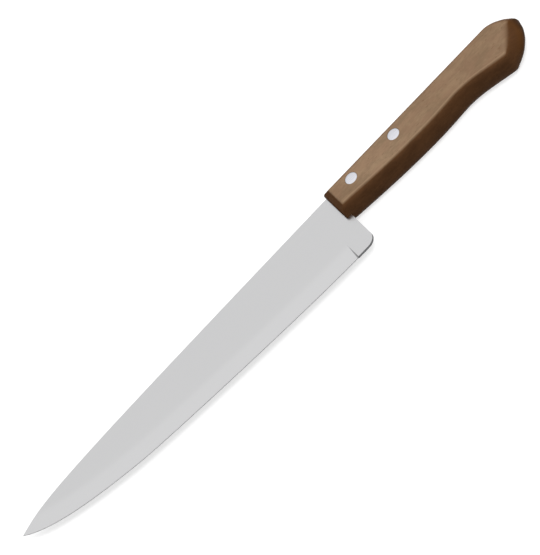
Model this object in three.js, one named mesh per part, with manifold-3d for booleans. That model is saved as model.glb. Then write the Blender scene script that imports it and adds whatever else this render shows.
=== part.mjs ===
// A wooden-handled kitchen knife: a stamped steel blade with a short tang, held in the
// slot of a one-piece handle by two flush two-part rivets.
//
// Millimetres, +Z up. The knife lies on its right side: the tip points along -X, the butt
// along +X, the cutting edge along -Y and the spine along +Y. The pieces are drawn with
// x = 0 at the handle's front end, y = 0 on the handle's spine and z = 0 on the blade's
// middle plane, and one group then sets the knife down over the origin.

import * as THREE from 'three';
import { mergeVertices } from 'three/addons/utils/BufferGeometryUtils.js';
import Module from 'manifold-3d';

// Blade
const BLADE_LENGTH = 203.2;            // tip to the handle's front end, an eight inch blade
const BLADE_THICKNESS = 1.2;
const BLADE_DEPTH = 41.8;              // handle's spine line down to the heel's lower side
const SPINE_DROP = 0.75;               // blade's spine below the handle's spine
const TIP_DROP = 10.0;                 // tip below the handle's spine
const HEEL_LENGTH = 8.6;               // unsharpened heel ahead of the handle's front end
const HEEL_OVERLAP = 2.95;             // top of the heel's rear side behind the handle's front end
const HEEL_SLANT = 0.15;               // how far the rear side leans forward on its way down
const HEEL_RADIUS = 5.2;

// Knees, where the long runs of spine and edge turn into the curves of the tip
const SPINE_KNEE_REACH = 53.6;         // back from the tip
const SPINE_KNEE_DROP = 2.97;
const SPINE_KNEE_SLOPE = 0.043;
const EDGE_KNEE_REACH = 60.5;          // back from the tip
const EDGE_KNEE_DEPTH = 31.55;
const EDGE_KNEE_SLOPE = 0.176;

// Pulls, how far a curve runs along its end's slope before it turns
const SPINE_KNEE_REAR_PULL = 31.6;
const SPINE_KNEE_FRONT_PULL = 26.5;
const TIP_SPINE_PULL = 14.5;
const TIP_SPINE_RISE = 5.0;
const TIP_EDGE_PULL = 8.5;
const TIP_EDGE_FALL = 7.8;
const EDGE_KNEE_FRONT_PULL = 38.4;
const EDGE_KNEE_REAR_PULL = 17.1;
const HEEL_PULL = 28.7;

// Bevel ground on both sides of the blade
const BEVEL_WIDTH = 9.6;
const EDGE_THICKNESS = 0.3;

// Tang
const TANG_DEPTH = 15.0;
const TANG_PAST_RIVET = 8.0;           // tang's end behind the rear rivet
const TANG_RADIUS = 3.0;

// Handle
const HANDLE_LENGTH = 117.5;
const HANDLE_THICKNESS = 12.4;
const HANDLE_CHAMFER = 3.5;            // worked all round both faces
const BUTT_SWELL = 1.1;                // how far the nose stands out between the chamfers

// Flat face of the handle, inside the chamfer, from the handle's front end and spine
const FACE_FRONT_DEPTH = 16.25;        // lower border at the front end
const WAIST_REACH = 74.2;              // waist ahead of the beak
const WAIST_DEPTH = 19.35;
const BEAK_REACH = 100.7;              // beak's corner
const BEAK_DEPTH = 25.2;
const SPINE_STRAIGHT = 102.9;          // where the upper border starts to turn down
const NOSE_DROP = 10.0;                // rearmost corner
const BELLY_SLOPE = 0.13;              // fall of the belly behind the front end
const BELLY_PULL = 49.9;
const WAIST_FRONT_PULL = 6.4;
const WAIST_REAR_PULL = 9.95;
const BEAK_BELLY_PULL = 6.1;
const BEAK_BELLY_RISE = 1.37;
const BEAK_BUTT_PULL = 8.3;
const BEAK_BUTT_RISE = 2.55;
const NOSE_LOWER_PULL = 2.9;
const NOSE_UPPER_PULL = 1.85;
const NOSE_UPPER_RISE = 2.9;
const SPINE_END_PULL = 4.55;

// Rivets
const RIVET_REACH = 14.4;              // front end to the front rivet
const RIVET_SPACING = 27.3;
const RIVET_DROP = 8.9;                // rivets below the handle's spine
const HEAD_DIAMETER = 6.2;
const HEAD_THICKNESS = 1.5;
const SLEEVE_DIAMETER = 4.2;
const PIN_DIAMETER = 2.8;

// Fits
const SLOT_CLEARANCE = 0.05;           // blade to each wall of the handle's slot
const HOLE_CLEARANCE = 0.08;           // rivets to their holes, on the radius
const END_CLEARANCE = 0.3;             // past the ends of the tang, heel, pins and sleeves

// Fineness of the curves, and how far cutters stand past the faces that they cut
const CURVE_STEPS = 16;
const BEVEL_STEPS = 48;
const ROUND_STEPS = 32;
const CUT_MARGIN = 1.0;
const MIDDLE_BAND = 0.01;              // corners this near the middle plane lie on it

const TIP = new THREE.Vector2(-BLADE_LENGTH, -TIP_DROP);
const PLUNGE = new THREE.Vector2(-HEEL_LENGTH, -BLADE_DEPTH);
const RIVET_XS = { front: RIVET_REACH, rear: RIVET_REACH + RIVET_SPACING };
const TANG_END = RIVET_XS.rear + TANG_PAST_RIVET;
const TANG_BOTTOM = -SPINE_DROP - TANG_DEPTH;
const FACE_Z = HANDLE_THICKNESS / 2;
const BUTT_END = HANDLE_LENGTH - BUTT_SWELL;
const HEAD_SEAT_Z = FACE_Z - HEAD_THICKNESS;

const wasm = await Module();
wasm.setup();

const steel = new THREE.MeshStandardMaterial({ color: 0xcdcdcf, roughness: 0.32, metalness: 1 });
const wood = new THREE.MeshStandardMaterial({ color: 0x937c63, roughness: 0.62, metalness: 0 });
const aluminium = new THREE.MeshStandardMaterial({ color: 0xdedee8, roughness: 0.35, metalness: 1 });

// Helpers

function solidOf(geometry) {
  const bare = geometry.clone();
  bare.deleteAttribute('normal');
  bare.deleteAttribute('uv');
  const merged = mergeVertices(bare);
  const vertProperties = merged.attributes.position.array;
  const triVerts = new Uint32Array(merged.index.array);
  return new wasm.Manifold(new wasm.Mesh({ numProp: 3, vertProperties, triVerts }));
}

function geometryOf(solid) {
  const mesh = solid.getMesh();
  const geometry = new THREE.BufferGeometry();
  geometry.setAttribute('position', new THREE.BufferAttribute(mesh.vertProperties, 3));
  geometry.setIndex(new THREE.BufferAttribute(mesh.triVerts, 1));
  geometry.computeVertexNormals();
  return geometry;
}

function subtractAll(geometry, cutters) {
  const cut = cutters.reduce((solid, cutter) => solid.subtract(solidOf(cutter)), solidOf(geometry));
  return geometryOf(cut);
}

function boxBetween(low, high) {
  const size = high.clone().sub(low);
  const centre = low.clone().add(high).divideScalar(2);
  const box = new THREE.BoxGeometry(size.x, size.y, size.z);
  return box.translate(centre.x, centre.y, centre.z);
}

// A round bar that stands along Z at a rivet's place
function rivetBar(diameter, x, lowZ, highZ) {
  const bar = new THREE.CylinderGeometry(diameter / 2, diameter / 2, highZ - lowZ, ROUND_STEPS);
  bar.rotateX(Math.PI / 2);
  return bar.translate(x, -RIVET_DROP, (lowZ + highZ) / 2);
}

function named(name, geometry, material) {
  const mesh = new THREE.Mesh(geometry, material);
  mesh.name = name;
  return mesh;
}

// Blade

// The cutting edge from the tip to the plunge line, as two curves that meet at the knee
function cuttingEdge() {
  const knee = new THREE.Vector2(TIP.x + EDGE_KNEE_REACH, -EDGE_KNEE_DEPTH);
  const tipPull = new THREE.Vector2(TIP.x + TIP_EDGE_PULL, TIP.y - TIP_EDGE_FALL);
  const kneeFront = new THREE.Vector2(
    knee.x - EDGE_KNEE_FRONT_PULL,
    knee.y + EDGE_KNEE_SLOPE * EDGE_KNEE_FRONT_PULL,
  );
  const kneeRear = new THREE.Vector2(
    knee.x + EDGE_KNEE_REAR_PULL,
    knee.y - EDGE_KNEE_SLOPE * EDGE_KNEE_REAR_PULL,
  );
  const heelPull = new THREE.Vector2(PLUNGE.x - HEEL_PULL, PLUNGE.y);
  const edge = new THREE.CurvePath();
  edge.add(new THREE.CubicBezierCurve(TIP, tipPull, kneeFront, knee));
  edge.add(new THREE.CubicBezierCurve(knee, kneeRear, heelPull, PLUNGE));
  return edge;
}

function bladeOutline(edge) {
  const knee = new THREE.Vector2(TIP.x + SPINE_KNEE_REACH, -SPINE_KNEE_DROP);
  const outline = new THREE.Shape();
  outline.moveTo(TANG_END - TANG_RADIUS, -SPINE_DROP);
  outline.lineTo(0, -SPINE_DROP);
  outline.quadraticCurveTo(
    knee.x + SPINE_KNEE_REAR_PULL, knee.y + SPINE_KNEE_SLOPE * SPINE_KNEE_REAR_PULL,
    knee.x, knee.y,
  );
  outline.bezierCurveTo(
    knee.x - SPINE_KNEE_FRONT_PULL, knee.y - SPINE_KNEE_SLOPE * SPINE_KNEE_FRONT_PULL,
    TIP.x + TIP_SPINE_PULL, TIP.y + TIP_SPINE_RISE,
    TIP.x, TIP.y,
  );
  outline.curves.push(...edge.curves);
  outline.currentPoint.copy(PLUNGE);
  const roundX = HEEL_OVERLAP - HEEL_SLANT - HEEL_RADIUS;
  outline.lineTo(roundX, -BLADE_DEPTH);
  outline.absarc(roundX, HEEL_RADIUS - BLADE_DEPTH, HEEL_RADIUS, -Math.PI / 2, 0);
  outline.lineTo(HEEL_OVERLAP, TANG_BOTTOM);
  outline.lineTo(TANG_END - TANG_RADIUS, TANG_BOTTOM);
  outline.absarc(TANG_END - TANG_RADIUS, TANG_BOTTOM + TANG_RADIUS, TANG_RADIUS, -Math.PI / 2, 0);
  outline.lineTo(TANG_END, -SPINE_DROP - TANG_RADIUS);
  outline.absarc(TANG_END - TANG_RADIUS, -SPINE_DROP - TANG_RADIUS, TANG_RADIUS, 0, Math.PI / 2);
  return outline;
}

// The wedge of steel that grinding takes off one side of the blade. Its section is a
// triangle whose long lower side is the bevel, and it is carried along the cutting edge.
function bevelCutter(edge, side) {
  const rise = (BLADE_THICKNESS - EDGE_THICKNESS) / 2 / BEVEL_WIDTH;
  const corners = [];
  for (let step = -1; step <= BEVEL_STEPS; step += 1) {
    const along = Math.max(step, 0) / BEVEL_STEPS;
    const tangent = edge.getTangent(along);
    const inward = new THREE.Vector2(-tangent.y, tangent.x);
    const place = edge.getPoint(along);
    if (step < 0) place.addScaledVector(tangent, -CUT_MARGIN);
    const inner = place.clone().addScaledVector(inward, BEVEL_WIDTH + CUT_MARGIN);
    const outer = place.clone().addScaledVector(inward, -CUT_MARGIN);
    corners.push(
      new THREE.Vector3(inner.x, inner.y, side * (BLADE_THICKNESS / 2 + rise * CUT_MARGIN)),
      new THREE.Vector3(outer.x, outer.y, side * (EDGE_THICKNESS / 2 - rise * CUT_MARGIN)),
      new THREE.Vector3(outer.x, outer.y, side * (BLADE_THICKNESS / 2 + CUT_MARGIN)),
    );
  }
  const triangles = [];
  const addTriangle = (a, b, c) => triangles.push(...(side > 0 ? [a, c, b] : [a, b, c]));
  const last = corners.length - 3;
  addTriangle(0, 2, 1);
  addTriangle(last, last + 1, last + 2);
  for (let section = 0; section < last; section += 3) {
    for (let corner = 0; corner < 3; corner += 1) {
      const here = section + corner;
      const next = section + (corner + 1) % 3;
      addTriangle(here, next, here + 3);
      addTriangle(next, next + 3, here + 3);
    }
  }
  const geometry = new THREE.BufferGeometry().setFromPoints(corners);
  return geometry.setIndex(triangles);
}

function makeBlade() {
  const edge = cuttingEdge();
  const outline = bladeOutline(edge);
  const plate = new THREE.ExtrudeGeometry(outline, {
    depth: BLADE_THICKNESS,
    curveSegments: CURVE_STEPS,
    bevelEnabled: false,
  });
  plate.translate(0, 0, -BLADE_THICKNESS / 2);
  const holes = Object.values(RIVET_XS).map(
    (x) => rivetBar(SLEEVE_DIAMETER + 2 * HOLE_CLEARANCE, x, -BLADE_THICKNESS, BLADE_THICKNESS),
  );
  return subtractAll(plate, [bevelCutter(edge, 1), bevelCutter(edge, -1), ...holes]);
}

// Handle

function handleFaceOutline() {
  const front = HANDLE_CHAMFER;
  const spine = -HANDLE_CHAMFER;
  const nose = BUTT_END - HANDLE_CHAMFER;
  const outline = new THREE.Shape();
  outline.moveTo(front, spine);
  outline.lineTo(front, -FACE_FRONT_DEPTH);
  outline.bezierCurveTo(
    front + BELLY_PULL, -FACE_FRONT_DEPTH - BELLY_SLOPE * BELLY_PULL,
    WAIST_REACH - WAIST_FRONT_PULL, -WAIST_DEPTH,
    WAIST_REACH, -WAIST_DEPTH,
  );
  outline.bezierCurveTo(
    WAIST_REACH + WAIST_REAR_PULL, -WAIST_DEPTH,
    BEAK_REACH - BEAK_BELLY_PULL, -BEAK_DEPTH + BEAK_BELLY_RISE,
    BEAK_REACH, -BEAK_DEPTH,
  );
  outline.bezierCurveTo(
    BEAK_REACH + BEAK_BUTT_PULL, -BEAK_DEPTH + BEAK_BUTT_RISE,
    nose, -NOSE_DROP - NOSE_LOWER_PULL,
    nose, -NOSE_DROP,
  );
  outline.bezierCurveTo(
    nose - NOSE_UPPER_PULL, -NOSE_DROP + NOSE_UPPER_RISE,
    SPINE_STRAIGHT + SPINE_END_PULL, spine,
    SPINE_STRAIGHT, spine,
  );
  return outline;
}

// Draws out the middle of the butt's side, more and more from the beak to the nose
function swellButt(body) {
  const corners = body.attributes.position;
  for (let corner = 0; corner < corners.count; corner += 1) {
    const x = corners.getX(corner);
    const isMiddle = Math.abs(corners.getZ(corner)) < MIDDLE_BAND;
    if (isMiddle && x > BEAK_REACH) {
      const share = (x - BEAK_REACH) / (BUTT_END - BEAK_REACH);
      corners.setX(corner, x + BUTT_SWELL * share);
    }
  }
}

function makeHandle() {
  const body = new THREE.ExtrudeGeometry(handleFaceOutline(), {
    depth: HANDLE_THICKNESS - 2 * HANDLE_CHAMFER,
    steps: 2,
    curveSegments: CURVE_STEPS,
    bevelThickness: HANDLE_CHAMFER,
    bevelSize: HANDLE_CHAMFER,
    bevelSegments: 1,
  });
  body.translate(0, 0, HANDLE_CHAMFER - FACE_Z);
  swellButt(body);

  const slotZ = BLADE_THICKNESS / 2 + SLOT_CLEARANCE;
  const tangSlot = boxBetween(
    new THREE.Vector3(-CUT_MARGIN, TANG_BOTTOM - END_CLEARANCE, -slotZ),
    new THREE.Vector3(TANG_END + END_CLEARANCE, CUT_MARGIN, slotZ),
  );
  const heelNotch = boxBetween(
    new THREE.Vector3(-CUT_MARGIN, -BLADE_DEPTH, -slotZ),
    new THREE.Vector3(HEEL_OVERLAP + END_CLEARANCE, CUT_MARGIN, slotZ),
  );

  const outsideZ = FACE_Z + CUT_MARGIN;
  const headHole = HEAD_DIAMETER + 2 * HOLE_CLEARANCE;
  const sleeveHole = SLEEVE_DIAMETER + 2 * HOLE_CLEARANCE;
  const holes = Object.values(RIVET_XS).flatMap((x) => [
    rivetBar(sleeveHole, x, -outsideZ, outsideZ),
    rivetBar(headHole, x, HEAD_SEAT_Z, outsideZ),
    rivetBar(headHole, x, -outsideZ, -HEAD_SEAT_Z),
  ]);
  return subtractAll(body, [tangSlot, heelNotch, ...holes]);
}

// Rivets

// Turns a profile of [radius, height] corners about a rivet's axis
function turned(profile, x) {
  const points = profile.map(([radius, height]) => new THREE.Vector2(radius, height));
  const geometry = new THREE.LatheGeometry(points, ROUND_STEPS);
  geometry.rotateX(Math.PI / 2);
  return geometry.translate(x, -RIVET_DROP, 0);
}

// The headed pin that shows on the upper face
function makeRivetPin(x) {
  const pinEnd = -HEAD_SEAT_Z + END_CLEARANCE;
  return turned([
    [0, pinEnd],
    [PIN_DIAMETER / 2, pinEnd],
    [PIN_DIAMETER / 2, HEAD_SEAT_Z],
    [HEAD_DIAMETER / 2, HEAD_SEAT_Z],
    [HEAD_DIAMETER / 2, FACE_Z],
    [0, FACE_Z],
  ], x);
}

// The headed sleeve that goes in from the lower face and grips the pin
function makeRivetSleeve(x) {
  const boreRadius = PIN_DIAMETER / 2 + HOLE_CLEARANCE;
  const sleeveEnd = HEAD_SEAT_Z - END_CLEARANCE;
  return turned([
    [0, -FACE_Z],
    [HEAD_DIAMETER / 2, -FACE_Z],
    [HEAD_DIAMETER / 2, -HEAD_SEAT_Z],
    [SLEEVE_DIAMETER / 2, -HEAD_SEAT_Z],
    [SLEEVE_DIAMETER / 2, sleeveEnd],
    [boreRadius, sleeveEnd],
    [boreRadius, -HEAD_SEAT_Z],
    [0, -HEAD_SEAT_Z],
  ], x);
}

// The knife, set down with the middle of its box over the origin
const knife = new THREE.Group();
knife.add(named('blade', makeBlade(), steel));
knife.add(named('handle', makeHandle(), wood));
for (const [place, x] of Object.entries(RIVET_XS)) {
  knife.add(named(`${place}_rivet_pin`, makeRivetPin(x), aluminium));
  knife.add(named(`${place}_rivet_sleeve`, makeRivetSleeve(x), aluminium));
}
const box = new THREE.Box3().setFromObject(knife);
const middle = box.getCenter(new THREE.Vector3());
knife.position.set(-middle.x, -middle.y, -box.min.z);

const model = new THREE.Group();
model.add(knife);

export default model;
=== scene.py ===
import math
from typing import NamedTuple

import bmesh
import bpy
from bpy.props import FloatProperty, FloatVectorProperty, PointerProperty
from mathutils import Matrix, Vector
from mathutils.geometry import interpolate_bezier


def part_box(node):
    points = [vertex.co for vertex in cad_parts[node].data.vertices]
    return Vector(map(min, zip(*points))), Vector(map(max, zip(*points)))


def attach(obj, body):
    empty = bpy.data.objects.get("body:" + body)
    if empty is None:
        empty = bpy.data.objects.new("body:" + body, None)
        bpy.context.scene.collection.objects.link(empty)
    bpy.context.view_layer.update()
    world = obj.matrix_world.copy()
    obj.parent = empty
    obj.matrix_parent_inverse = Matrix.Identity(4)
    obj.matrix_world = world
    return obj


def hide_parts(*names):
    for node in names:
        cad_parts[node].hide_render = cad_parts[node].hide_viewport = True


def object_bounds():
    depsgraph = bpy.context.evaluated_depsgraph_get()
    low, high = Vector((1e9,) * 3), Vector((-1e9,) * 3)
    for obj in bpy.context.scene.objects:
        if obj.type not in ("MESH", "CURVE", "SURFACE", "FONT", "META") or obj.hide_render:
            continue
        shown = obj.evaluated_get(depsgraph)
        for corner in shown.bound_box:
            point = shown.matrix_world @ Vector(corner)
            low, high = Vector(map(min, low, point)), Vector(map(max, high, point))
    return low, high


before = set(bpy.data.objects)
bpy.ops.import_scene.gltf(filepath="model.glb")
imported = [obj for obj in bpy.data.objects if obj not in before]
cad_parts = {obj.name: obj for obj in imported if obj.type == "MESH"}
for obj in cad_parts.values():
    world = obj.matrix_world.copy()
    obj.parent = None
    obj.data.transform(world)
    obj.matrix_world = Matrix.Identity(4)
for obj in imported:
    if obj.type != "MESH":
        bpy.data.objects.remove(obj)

bl_info = {
    "name": "Kitchen knife",
    "version": (1, 0, 0),
    "blender": (4, 5, 0),
    "location": "3D View > Sidebar > Knife",
    "description": "Models and finishes a wooden-handled kitchen knife around its CAD frame",
    "category": "Object",
}

MM = 0.001
CAD_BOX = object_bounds()
BLADE_LOW, BLADE_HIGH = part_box("blade")
HANDLE_LOW, HANDLE_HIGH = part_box("handle")

# The pieces are drawn from the handle's front end, its spine and the blade's middle plane,
# and are then moved to this point of the frame.
DRAWING_ORIGIN = Vector((HANDLE_LOW.x, HANDLE_HIGH.y, (HANDLE_LOW.z + HANDLE_HIGH.z) / 2))

# Blade outline, in millimetres, as the end points and handles of its curves
SPINE_FRONT = (0.0, -0.75)
SPINE_KNEE = (-149.6, -2.97)
TIP = (-203.2, -10.0)
EDGE_KNEE = (-142.7, -31.55)
PLUNGE = (-8.6, -41.8)
SPINE_CURVES = (
    (TIP, (-188.7, -5.0), (-176.1, -4.11), SPINE_KNEE),
    (SPINE_KNEE, (-128.53, -2.06), (-78.67, -1.32), SPINE_FRONT),
)
EDGE_CURVES = (
    (TIP, (-194.7, -17.8), (-181.1, -24.79), EDGE_KNEE),
    (EDGE_KNEE, (-125.6, -34.56), (-37.3, -41.8), PLUNGE),
)
HEEL_OVERLAP = 2.95
HEEL_SLANT = 0.15
HEEL_RADIUS = 5.2
TANG_BOTTOM = -15.75
TANG_RADIUS = 3.0

# Border of the handle's flat face, in millimetres, in the same way
FACE_FRONT_TOP = (3.5, -3.5)
FACE_FRONT_BOTTOM = (3.5, -16.25)
FACE_WAIST = (74.2, -19.35)
FACE_BEAK = (100.7, -25.2)
FACE_NOSE = (112.9, -10.0)
FACE_SPINE_END = (102.9, -3.5)
BELLY_CURVE = (FACE_FRONT_BOTTOM, (53.4, -22.74), (67.8, -19.35), FACE_WAIST)
WAIST_CURVE = (FACE_WAIST, (84.15, -19.35), (94.6, -23.83), FACE_BEAK)
BUTT_CURVE = (FACE_BEAK, (109.0, -22.65), (112.9, -12.9), FACE_NOSE)
NOSE_CURVE = (FACE_NOSE, (111.05, -7.1), (107.45, -3.5), FACE_SPINE_END)

# Rivets, in millimetres
RIVET_PLACES = ("front", "rear")
SLEEVE_RADIUS = 2.1
PIN_RADIUS = 1.4
HOLE_CLEARANCE = 0.08
END_CLEARANCE = 0.3
HEAD_THICKNESS = 1.5

# Slot for the tang, in millimetres
SLOT_CLEARANCE = 0.05
CUT_MARGIN = 1.0

# How close together points count as one, in millimetres
NEAR = 0.001
MERGE_DISTANCE = 0.002
MIRROR_MERGE_DISTANCE = 0.005

# How upright the normal of a level face stands, at least
LEVEL = 0.999

# Sides of round shapes, and steps of their roundings
HOLE_SIDES = 48
HEAD_SIDES = 64
TANG_CORNER_STEPS = 6
RIM_STEPS = 4
DOME_RINGS = 5

# Most noise lies between these values
NOISE_LOW = 0.3
NOISE_HIGH = 0.7

# Largest angle between faces that are shaded as one, in degrees
BLADE_SMOOTHING = 14.0
HANDLE_SMOOTHING = 32.0
RIVET_SMOOTHING = 35.0

# The knife lies on the low domes of its lower rivet heads, this far over the floor, in millimetres
FLOOR_GAP = 0.12

# Width of the floor in metres, its own glow, and the grey in which it throws light back
FLOOR_SIZE = 12.0
FLOOR_GLOW = 0.09
FLOOR_GREY = 0.15

# Brightness of the room that metal mirrors, at the horizon and overhead
ROOM_AT_HORIZON = 0.3
ROOM_OVERHEAD = 1.3

# Directions towards the lights
KEY_DIRECTION = Vector((0.45, 0.45, 0.77))
TOP_DIRECTION = Vector((0.22, -0.46, 0.86))

# What the camera looks at, from the drawing origin, and the width of its sensor, in millimetres
CAMERA_AIM = Vector((-42.86, -9.2, 0.0))
SENSOR_WIDTH = 36.0

# How far the camera sees, in metres
CAMERA_REACH = 100.0


# Settings


def length_setting(name, description, millimetres):
    return FloatProperty(
        name=name, description=description, default=millimetres * MM, min=0.0,
        precision=5, subtype="DISTANCE", unit="LENGTH",
    )


def share_setting(name, description, default):
    return FloatProperty(
        name=name, description=description, default=default, min=0.0, max=1.0, subtype="FACTOR",
    )


def strength_setting(name, description, default):
    return FloatProperty(name=name, description=description, default=default, min=0.0)


def angle_setting(name, description, degrees):
    return FloatProperty(
        name=name, description=description, default=math.radians(degrees),
        subtype="ANGLE", unit="ROTATION",
    )


def colour_setting(name, description, default):
    return FloatVectorProperty(
        name=name, description=description, default=default, size=3, min=0.0, max=1.0, subtype="COLOR",
    )


class BladeSettings(bpy.types.PropertyGroup):
    """Grinding and steel of the blade"""

    bevel_width: length_setting("Bevel width", "Width of the bevel, from the cutting edge", 9.6)
    bevel_softness: length_setting("Bevel softness", "Half the width over which the bevel runs out", 1.6)
    edge_thickness: length_setting("Edge thickness", "Steel left at the cutting edge", 0.3)
    plunge_width: length_setting("Plunge width", "Run-out of the grinding wheel before the heel", 1.1)
    steel: colour_setting("Steel", "Colour of the polished steel", (0.632, 0.632, 0.637))
    # Partly the stamped sides' own darker steel, and partly painted shade on them and on the wheel's
    # run-out
    sheared_and_shaded_steel: colour_setting("Sheared steel", "Colour of the stamped sides", (0.13, 0.13, 0.133))
    roughness: share_setting("Roughness", "Roughness of the polished steel", 0.3)


class HandleSettings(bpy.types.PropertyGroup):
    """Chamfer and wood of the handle"""

    chamfer: length_setting("Chamfer", "Width and depth of the chamfer round both faces", 3.5)
    crease_softness: length_setting("Crease softness", "Rounding where face and chamfer meet", 1.4)
    side_softness: length_setting("Side softness", "Rounding where chamfer and side meet", 2.0)
    front_softness: length_setting("Front softness", "Rounding round the crisp front end", 0.4)
    front_corner: length_setting("Front corners", "Rounding of the front end's corners", 0.5)
    beak_corner: length_setting("Beak corner", "Rounding of the beak's ridge", 0.9)
    nose_corner: length_setting("Nose corner", "Rounding of the nose's ridge", 1.0)
    butt_swell: length_setting("Butt swell", "How far the nose stands out between the chamfers", 1.1)
    wood: colour_setting("Wood", "Colour of the sanded face", (0.268, 0.179, 0.109))
    ruddy_wood: colour_setting("Ruddy wood", "Colour of the face's redder patches", (0.262, 0.16, 0.1))
    # The chamfers' and sides' own darker wood, partly painted shade on them
    worked_and_shaded_wood: colour_setting("Worked wood", "Colour of the chamfers and sides", (0.112, 0.05, 0.02))
    end_grain: colour_setting("End grain", "Colour of wood cut across its grain", (0.086, 0.034, 0.009))
    # The pores' own colour, also used for painted shade on the chamfers and at the rim of the ends and
    # front end
    pore_and_shade: colour_setting("Pores", "Colour in the open pores", (0.05, 0.02, 0.007))


class RivetSettings(bpy.types.PropertyGroup):
    """Heads and metal of the rivets"""

    rim_radius: length_setting("Rim rounding", "Rounding of the head's rim", 0.15)
    dome_height: length_setting("Dome", "Rise of the head's middle over its rim", 0.1)
    metal: colour_setting("Metal", "Colour of the ground metal", (0.74, 0.74, 0.785))
    roughness: share_setting("Roughness", "Roughness of the ground metal", 0.32)


class StageSettings(bpy.types.PropertyGroup):
    """Camera, light and floor"""

    view_height: angle_setting("View height", "Height of the camera over the floor", 43.3)
    view_roll: angle_setting("View roll", "Slant of the knife across the picture", 46.14)
    lens: FloatProperty(name="Lens", description="Focal length", default=800.0, min=1.0, unit="CAMERA")
    frame_height: length_setting("Frame height", "Height of the picture at the knife", 248.9)
    key_strength: strength_setting("Key light", "Strength of the soft key light", 2.4)
    key_spread: angle_setting("Key spread", "Angle over which the key light is spread", 50.0)
    top_strength: strength_setting("Top light", "Strength of the light overhead", 0.7)
    top_spread: angle_setting("Top spread", "Angle over which the top light is spread", 18.0)
    fill: colour_setting("Fill", "Even light from the room", (0.38, 0.38, 0.38))


class KnifeSettings(bpy.types.PropertyGroup):
    """All settings of the knife"""

    blade: PointerProperty(type=BladeSettings)
    handle: PointerProperty(type=HandleSettings)
    rivet: PointerProperty(type=RivetSettings)
    stage: PointerProperty(type=StageSettings)


# Modelling helpers


def deselect_all():
    if bpy.context.object and bpy.context.object.mode != "OBJECT":
        bpy.ops.object.mode_set(mode="OBJECT")
    bpy.ops.object.select_all(action="DESELECT")


def activate(piece):
    deselect_all()
    piece.select_set(True)
    bpy.context.view_layer.objects.active = piece


def new_piece(name):
    """The object that was just added, under its own name"""
    piece = bpy.context.object
    piece.name = name
    piece.data.name = name
    return piece


def copy_piece(piece, name, shift):
    """A copy of a piece with its own mesh, moved by a shift"""
    activate(piece)
    bpy.ops.object.duplicate()
    copy = new_piece(name)
    bpy.ops.object.mode_set(mode="EDIT")
    move_whole_mesh(shift)
    bpy.ops.object.mode_set(mode="OBJECT")
    return copy


def move_whole_mesh(shift):
    bpy.ops.mesh.select_all(action="SELECT")
    bpy.ops.transform.translate(value=shift)


def select_in_edit_mode(piece, kind, wanted):
    """Selects the edges or faces for which wanted is true"""
    mode = {"edges": "EDGE", "faces": "FACE"}[kind]
    bpy.ops.mesh.select_mode(type=mode)
    bpy.ops.mesh.select_all(action="DESELECT")
    shape = bmesh.from_edit_mesh(piece.data)
    shape.normal_update()
    for element in getattr(shape, kind):
        if wanted(element):
            element.select_set(True)
    shape.select_flush_mode()
    bmesh.update_edit_mesh(piece.data)


def close_up():
    """Merges what lies together and turns all faces outwards"""
    bpy.ops.mesh.select_all(action="SELECT")
    bpy.ops.mesh.remove_doubles(threshold=MERGE_DISTANCE * MM)
    bpy.ops.mesh.dissolve_degenerate(threshold=NEAR * MM)
    bpy.ops.mesh.select_all(action="SELECT")
    bpy.ops.mesh.normals_make_consistent(inside=False)


def cut_away(piece, cutter):
    """Cuts one shape out of a piece and removes the cutter"""
    activate(piece)
    bpy.ops.object.modifier_add(type="BOOLEAN")
    modifier = piece.modifiers[-1]
    modifier.operation = "DIFFERENCE"
    modifier.solver = "EXACT"
    modifier.object = cutter
    bpy.ops.object.modifier_apply(modifier=modifier.name)
    bpy.data.objects.remove(cutter)


def box_cutter(low, high):
    """A block between two corners of the drawing, in millimetres"""
    low = Vector(low) * MM
    high = Vector(high) * MM
    deselect_all()
    middle = DRAWING_ORIGIN + (low + high) / 2
    bpy.ops.mesh.primitive_cube_add(size=1.0, location=middle, scale=high - low)
    return bpy.context.object


def bar_cutter(centre, radius, low, high):
    """A round bar along Z, with its heights measured from the blade's middle plane, in metres"""
    deselect_all()
    middle = DRAWING_ORIGIN.z + (low + high) / 2
    bpy.ops.mesh.primitive_cylinder_add(
        vertices=HOLE_SIDES, radius=radius, depth=high - low, location=(centre.x, centre.y, middle),
    )
    return bpy.context.object


def curve_points(curves, steps):
    """Points along joined curves, in metres, each joint once"""
    points = []
    for curve in curves:
        knots = [Vector(knot) * MM for knot in curve]
        stretch = interpolate_bezier(*knots, steps + 1)
        points += stretch if not points else stretch[1:]
    return points


def straight_points(start, end, steps):
    """Points along a straight line, in metres"""
    start = Vector(start) * MM
    end = Vector(end) * MM
    return [start.lerp(end, step / steps) for step in range(steps + 1)]


def even_steps(low, high, steps):
    """The ends of equal steps from low up to high"""
    return [low + (high - low) * step / steps for step in range(1, steps + 1)]


def rivet_centre(place):
    low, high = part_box(f"{place}_rivet_pin")
    return (low + high) / 2


def finish_piece(piece, body, node, material, smooth_angle):
    activate(piece)
    bpy.ops.object.shade_smooth_by_angle(angle=math.radians(smooth_angle))
    piece.data.materials.clear()
    piece.data.materials.append(material)
    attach(piece, body)
    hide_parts(node)


# Material helpers


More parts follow.
